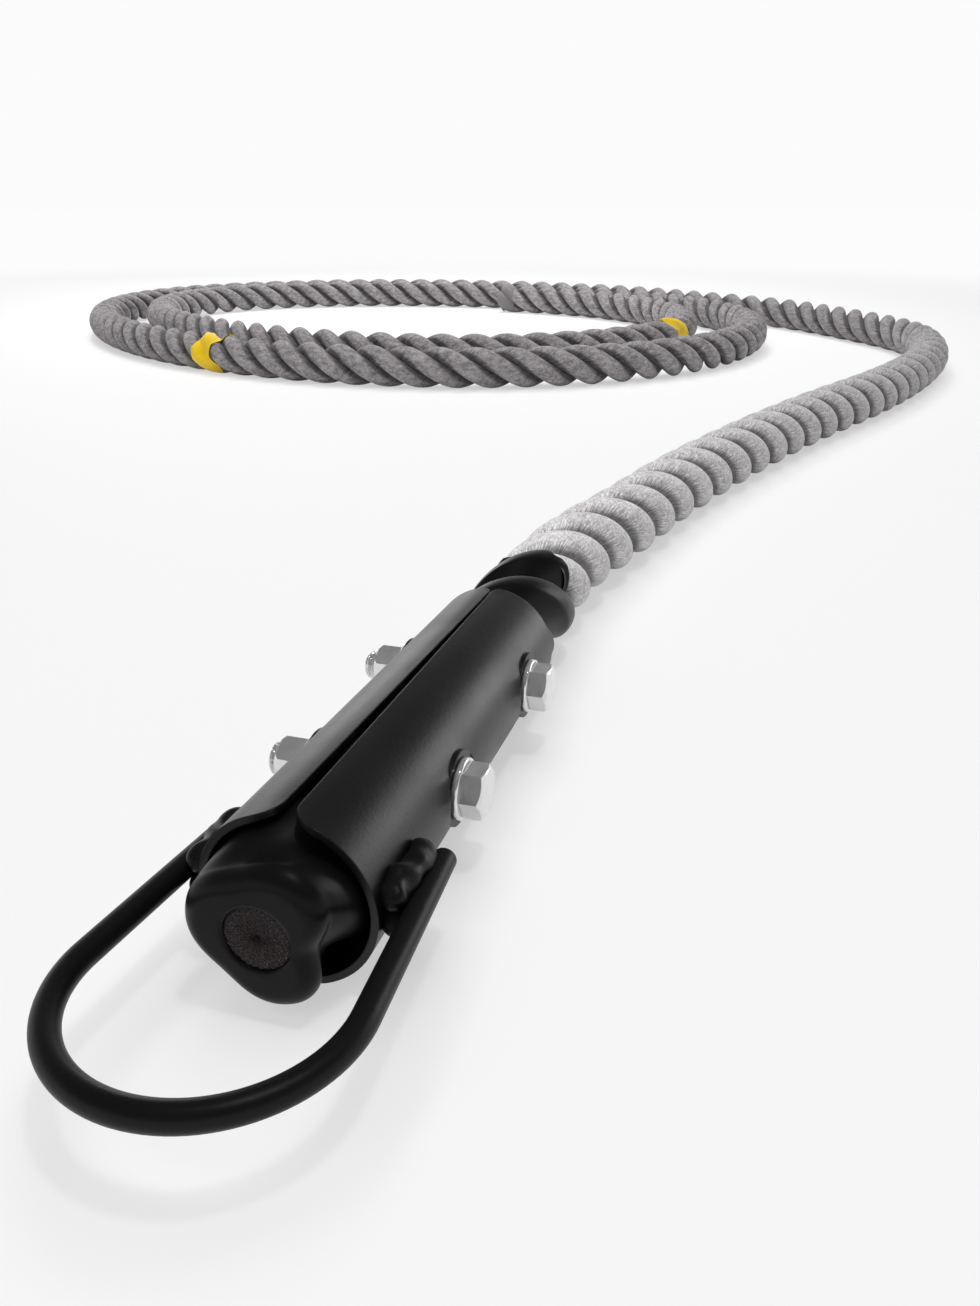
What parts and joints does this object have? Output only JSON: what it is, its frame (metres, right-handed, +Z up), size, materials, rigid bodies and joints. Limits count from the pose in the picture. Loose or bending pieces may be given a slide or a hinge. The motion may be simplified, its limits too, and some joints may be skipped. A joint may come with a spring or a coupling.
{
  "type": "climbing rope",
  "caption": "Gym climbing rope with its end held in a bolted steel clamp with a welded hanging eye, the rest lying in a loose coil with marker tapes.",
  "frame": {"origin": "on the floor, under the middle of the clamp with its eye and boot", "axes": "+Y along the clamp from the hanging eye towards the rope, +X towards the bolt heads, +Z up from the floor"},
  "size_m": [1.0858, 1.6334, 0.0469],
  "materials": {
    "powder_coat": "satin",
    "zinc": "bright zinc",
    "boot": "satin heat-shrink",
    "rope": "soft twisted fibre",
    "yellow_tape": "cloth tape",
    "whipping": "wound twine"
  },
  "bodies": {
    "root": {"clamp_half_right": "powder_coat", "clamp_half_left": "powder_coat", "hanging_eye": "powder_coat", "weld_bead_upper_right": "powder_coat", "weld_bead_lower_right": "powder_coat", "weld_bead_upper_left": "powder_coat", "weld_bead_lower_left": "powder_coat", "bolt_near": "zinc", "bolt_far": "zinc", "head_washer_near": "zinc", "head_washer_far": "zinc", "nut_washer_near": "zinc", "nut_washer_far": "zinc", "nut_near": "zinc", "nut_far": "zinc", "shrink_boot": "boot", "rope_end": "rope", "rope_run": "rope", "rope_coil": "rope", "marker_tape_outer": "yellow_tape", "marker_tape_inner": "yellow_tape", "end_whipping": "whipping"}
  },
  "joints": []
}
